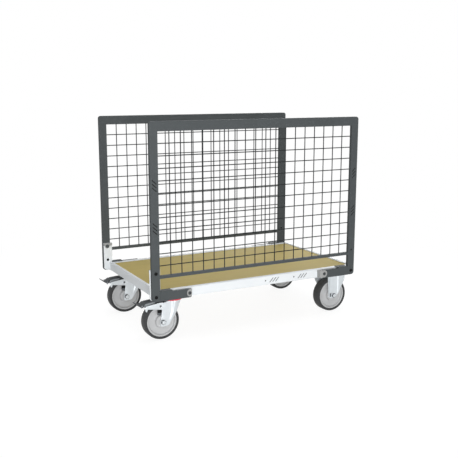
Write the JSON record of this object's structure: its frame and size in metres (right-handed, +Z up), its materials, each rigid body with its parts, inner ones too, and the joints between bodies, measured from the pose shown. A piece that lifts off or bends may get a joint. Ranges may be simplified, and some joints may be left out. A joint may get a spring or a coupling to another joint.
{
  "type": "mesh-sided platform trolley",
  "caption": "Platform trolley with a wooden deck in a light steel rim, tall mesh side panels along both long sides, braked swivel castors at one end and fixed castors at the other.",
  "frame": {"origin": "on the floor, under the middle of the overall length and width", "axes": "+X along the deck from the swivel castors to the fixed ones, +Y from the front panel to the back one, +Z up"},
  "size_m": [1.078, 0.6438, 0.928],
  "materials": {
    "anthracite_paint": "fine matt powder coat",
    "light_grey_paint": "smooth satin powder coat",
    "deck_wood": "sealed wood-fibre board",
    "tyre_rubber": "moulded solid rubber",
    "hub_plastic": "moulded grey plastic",
    "zinc_steel": "bright zinc-plated pressing",
    "seal_red": "soft red plastic",
    "cap_grey": "matt die casting",
    "bolt_black": "black oxide",
    "pedal_black": "moulded black plastic",
    "pad_rubber": "moulded rubber",
    "bare_steel": "bright steel"
  },
  "bodies": {
    "frame": {"arm_caps": "cap_grey", "back_bottom_rail": "anthracite_paint", "back_corner_plate": "light_grey_paint", "back_left_foot_arm": "anthracite_paint", "back_left_swivel_plate": "zinc_steel", "back_left_upright": "anthracite_paint", "back_mesh": "anthracite_paint", "back_right_axle": "bare_steel", "back_right_bracket": "zinc_steel", "back_right_foot_arm": "anthracite_paint", "back_right_upright": "anthracite_paint", "back_side_rail": "light_grey_paint", "back_top_rail": "anthracite_paint", "castor_bolts": "bare_steel", "castor_nuts": "bare_steel", "deck_board": "deck_wood", "dust_seals": "seal_red", "foot_spacers": "anthracite_paint", "front_bottom_rail": "anthracite_paint", "front_corner_plate": "light_grey_paint", "front_left_foot_arm": "anthracite_paint", "front_left_swivel_plate": "zinc_steel", "front_left_upright": "anthracite_paint", "front_mesh": "anthracite_paint", "front_right_axle": "bare_steel", "front_right_bracket": "zinc_steel", "front_right_foot_arm": "anthracite_paint", "front_right_upright": "anthracite_paint", "front_side_rail": "light_grey_paint", "front_top_rail": "anthracite_paint", "kingpins": "bare_steel", "left_castor_bearer": "light_grey_paint", "left_end_rail": "light_grey_paint", "middle_bearer": "light_grey_paint", "panel_bolts": "bolt_black", "panel_nuts": "bare_steel", "plate_caps": "cap_grey", "right_castor_bearer": "light_grey_paint", "right_end_rail": "light_grey_paint", "swivel_balls": "bare_steel"},
    "front_swivel_fork": {"front_left_fork": "zinc_steel", "front_left_axle": "bare_steel", "front_left_pedal_pin": "bare_steel"},
    "front_brake": {"front_left_brake_pedal": "pedal_black", "front_left_brake_pad": "pad_rubber"},
    "front_left_wheel": {"front_left_hub": "hub_plastic", "front_left_tyre": "tyre_rubber"},
    "front_right_wheel": {"front_right_hub": "hub_plastic", "front_right_tyre": "tyre_rubber"},
    "back_swivel_fork": {"back_left_fork": "zinc_steel", "back_left_axle": "bare_steel", "back_left_pedal_pin": "bare_steel"},
    "back_brake": {"back_left_brake_pedal": "pedal_black", "back_left_brake_pad": "pad_rubber"},
    "back_left_wheel": {"back_left_hub": "hub_plastic", "back_left_tyre": "tyre_rubber"},
    "back_right_wheel": {"back_right_hub": "hub_plastic", "back_right_tyre": "tyre_rubber"}
  },
  "joints": [
    {"name": "front_castor_swivel", "type": "hinge", "parent": "frame", "child": "front_swivel_fork", "pos_m": [-0.368, -0.222, 0.1704], "axis": [0, 0, 1], "continuous": true},
    {"name": "front_swivel_wheel_roll", "type": "hinge", "parent": "front_swivel_fork", "child": "front_left_wheel", "pos_m": [-0.423, -0.222, 0.08], "axis": [0, 1, 0], "continuous": true},
    {"name": "front_brake_press", "type": "hinge", "parent": "front_swivel_fork", "child": "front_brake", "pos_m": [-0.419, -0.222, 0.168], "axis": [0, -1, 0], "range_deg": [0, 3.6]},
    {"name": "front_fixed_wheel_roll", "type": "hinge", "parent": "frame", "child": "front_right_wheel", "pos_m": [0.459, -0.222, 0.08], "axis": [0, 1, 0], "continuous": true},
    {"name": "back_castor_swivel", "type": "hinge", "parent": "frame", "child": "back_swivel_fork", "pos_m": [-0.368, 0.222, 0.1704], "axis": [0, 0, 1], "continuous": true},
    {"name": "back_swivel_wheel_roll", "type": "hinge", "parent": "back_swivel_fork", "child": "back_left_wheel", "pos_m": [-0.423, 0.222, 0.08], "axis": [0, 1, 0], "continuous": true},
    {"name": "back_brake_press", "type": "hinge", "parent": "back_swivel_fork", "child": "back_brake", "pos_m": [-0.419, 0.222, 0.168], "axis": [0, -1, 0], "range_deg": [0, 3.6]},
    {"name": "back_fixed_wheel_roll", "type": "hinge", "parent": "frame", "child": "back_right_wheel", "pos_m": [0.459, 0.222, 0.08], "axis": [0, 1, 0], "continuous": true}
  ]
}
